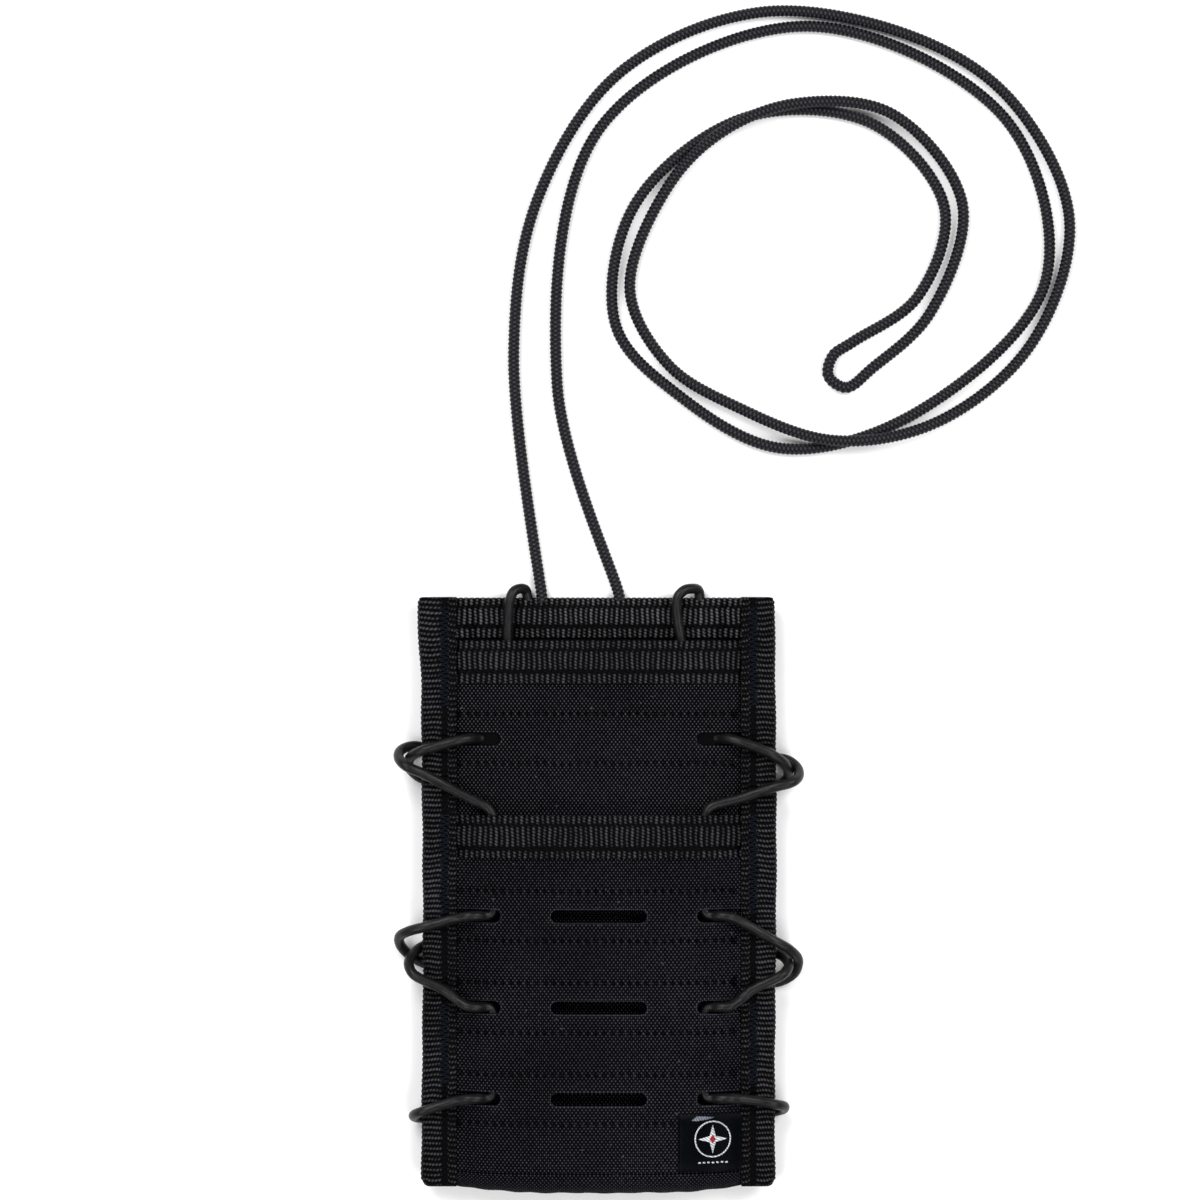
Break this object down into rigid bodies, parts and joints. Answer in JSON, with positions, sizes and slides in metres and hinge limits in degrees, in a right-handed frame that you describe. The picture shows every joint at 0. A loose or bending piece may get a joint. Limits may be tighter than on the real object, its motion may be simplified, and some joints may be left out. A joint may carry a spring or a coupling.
{
  "type": "neck pouch wallet",
  "caption": "Flat padded neck pouch: a phone sleeve behind a slotted card pocket, elastic laces round the side bindings and a long braided neck cord in one loop.",
  "frame": {"origin": "on the surface that the pouch lies on, under the middle of its outline", "axes": "+X to the right, +Y from the folded bottom to the open mouth, +Z out of the front"},
  "size_m": [0.1819, 0.317, 0.0169],
  "materials": {
    "shell_fabric": "plain-woven coated polyester, near black, matt with a faint sheen on the yarns",
    "lining": "thin smooth woven lining, near black, matt",
    "foam": "soft closed-cell foam sheet, dark grey, matt",
    "binding_tape": "ribbed woven binding tape, near black, matt",
    "strip": "flat woven strip behind the slots, near black, matt",
    "thread": "bonded sewing thread, blue-black, slight sheen",
    "shock_cord": "fine smooth sheath over a rubber core, charcoal, soft sheen",
    "braided_cord": "round braided cord, charcoal, matt",
    "label": "satin-woven loop label, navy black, soft sheen"
  },
  "bodies": {
    "back": {"back_outer_fabric": "shell_fabric", "back_foam_pad": "foam", "back_lining": "lining", "bottom_fold": "shell_fabric", "top_binding": "binding_tape", "side_binding_left": "binding_tape", "side_binding_right": "binding_tape", "bartack_left_1": "thread", "bartack_left_2": "thread", "bartack_left_3": "thread", "bartack_right_1": "thread", "bartack_right_2": "thread", "bartack_right_3": "thread", "main_panel_edge_left": "shell_fabric", "main_panel_edge_right": "shell_fabric", "front_pocket_edge_left": "shell_fabric", "front_pocket_edge_right": "shell_fabric", "row_1_reinforcement_left": "strip", "row_1_reinforcement_right": "strip", "row_2_reinforcement_left": "strip", "row_2_reinforcement_right": "strip", "row_3_reinforcement_left": "strip", "row_3_reinforcement_right": "strip", "row_4_reinforcement_left": "strip", "row_4_reinforcement_right": "strip", "lace_left": "shock_cord", "lace_right": "shock_cord", "lace_knot_upper_left": "shock_cord", "lace_knot_upper_right": "shock_cord", "lace_knot_lower_left": "shock_cord", "lace_knot_lower_right": "shock_cord", "neck_cord": "braided_cord"},
    "main_front": {"main_panel_fabric": "shell_fabric", "main_panel_lining": "lining", "main_mouth_binding": "binding_tape"},
    "front_pocket": {"front_pocket_fabric": "shell_fabric", "front_mouth_binding": "binding_tape", "row_2_reinforcement": "strip", "row_3_reinforcement": "strip", "row_4_reinforcement": "strip"},
    "label": {"woven_label": "label"},
    "loop_left": {"retention_loop_left": "shock_cord"},
    "loop_right": {"retention_loop_right": "shock_cord"}
  },
  "joints": [
    {"name": "main_mouth_open", "type": "hinge", "parent": "back", "child": "main_front", "pos_m": [0, -0.075, 0.01525], "axis": [1, 0, 0], "range_deg": [0, 7], "stiffness_Nm_per_rad": 0.1},
    {"name": "front_mouth_open", "type": "hinge", "parent": "main_front", "child": "front_pocket", "pos_m": [0, -0.075, 0.01525], "axis": [1, 0, 0], "range_deg": [0, 6], "stiffness_Nm_per_rad": 0.1},
    {"name": "label_flip", "type": "hinge", "parent": "front_pocket", "child": "label", "pos_m": [0.0377, -0.0674, 0.0087], "axis": [0, 1, 0], "range_deg": [0, 110], "stiffness_Nm_per_rad": 0.0004},
    {"name": "loop_left_stretch", "type": "slide", "parent": "back", "child": "loop_left", "axis": [0, 1, 0], "range_m": [0, 0.005], "stiffness_N_per_m": 60, "deforming": ["retention_loop_left"]},
    {"name": "loop_right_stretch", "type": "slide", "parent": "back", "child": "loop_right", "axis": [0, 1, 0], "range_m": [0, 0.005], "stiffness_N_per_m": 60, "deforming": ["retention_loop_right"]}
  ]
}
